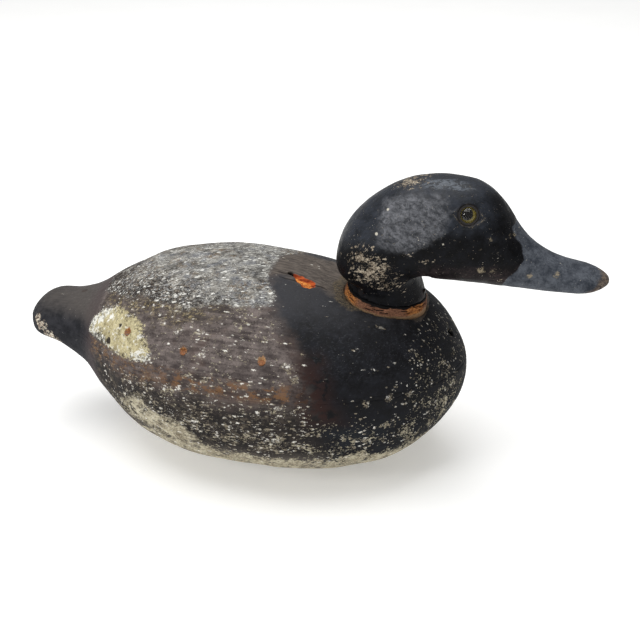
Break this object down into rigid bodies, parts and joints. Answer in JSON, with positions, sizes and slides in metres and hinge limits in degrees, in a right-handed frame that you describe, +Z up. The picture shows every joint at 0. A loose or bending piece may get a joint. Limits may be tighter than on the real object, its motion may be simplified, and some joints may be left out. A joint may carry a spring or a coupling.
{
  "type": "floating duck decoy",
  "caption": "Carved wooden diving-duck decoy: hollow two-part body, dowelled turning head with glass eyes, ballast pad and a line ring underneath.",
  "frame": {"origin": "centre of the ballast pad's underside, the face the decoy stands on", "axes": "+X forwards to the bill, +Z up, +Y to the duck's left"},
  "size_m": [0.3603, 0.162, 0.1866],
  "materials": {
    "body_wood": "old matte oil paint, worn to primer and bare wood",
    "head_wood": "old black paint with a soft sheen; slate-blue bill",
    "dowel_wood": "bare hardwood",
    "seam_putty": "aged linseed putty",
    "neck_putty": "cracked orange-brown putty",
    "eye_putty": "aged putty, red-brown",
    "eye_glass": "polished",
    "iris_paint": "painted on the back of the glass",
    "pupil_paint": "painted on the back of the glass",
    "eye_wire": "annealed wire",
    "nail_iron": "rusty wire nails",
    "screw_steel": "plain steel",
    "tie_wire": "tinned wire",
    "tie_brass": "tarnished",
    "lead": "dull lead"
  },
  "bodies": {
    "hull": {"body_upper": "body_wood", "body_lower": "body_wood", "seam_filler": "seam_putty", "seam_nails": "nail_iron", "neck_filler": "neck_putty", "ballast_weight": "lead", "ballast_nails": "nail_iron", "line_staple": "tie_wire"},
    "head": {"head": "head_wood", "neck_dowel": "dowel_wood", "neck_nails": "nail_iron", "head_screw": "screw_steel", "head_washer": "screw_steel", "eye_glass_left": "eye_glass", "eye_iris_left": "iris_paint", "eye_pupil_left": "pupil_paint", "eye_wire_left": "eye_wire", "eye_putty_left": "eye_putty", "eye_glass_right": "eye_glass", "eye_iris_right": "iris_paint", "eye_pupil_right": "pupil_paint", "eye_wire_right": "eye_wire", "eye_putty_right": "eye_putty"},
    "line_ring": {"line_ring": "tie_brass"}
  },
  "joints": [
    {"name": "head_turn", "type": "hinge", "parent": "hull", "child": "head", "pos_m": [0.0885, 0, 0.103], "axis": [0.1305, 0, 0.9914], "range_deg": [-90, 90]},
    {"name": "ring_swing", "type": "hinge", "parent": "hull", "child": "line_ring", "pos_m": [0.072, 0, 0.0062], "axis": [0, -1, 0], "range_deg": [0, 175]}
  ]
}
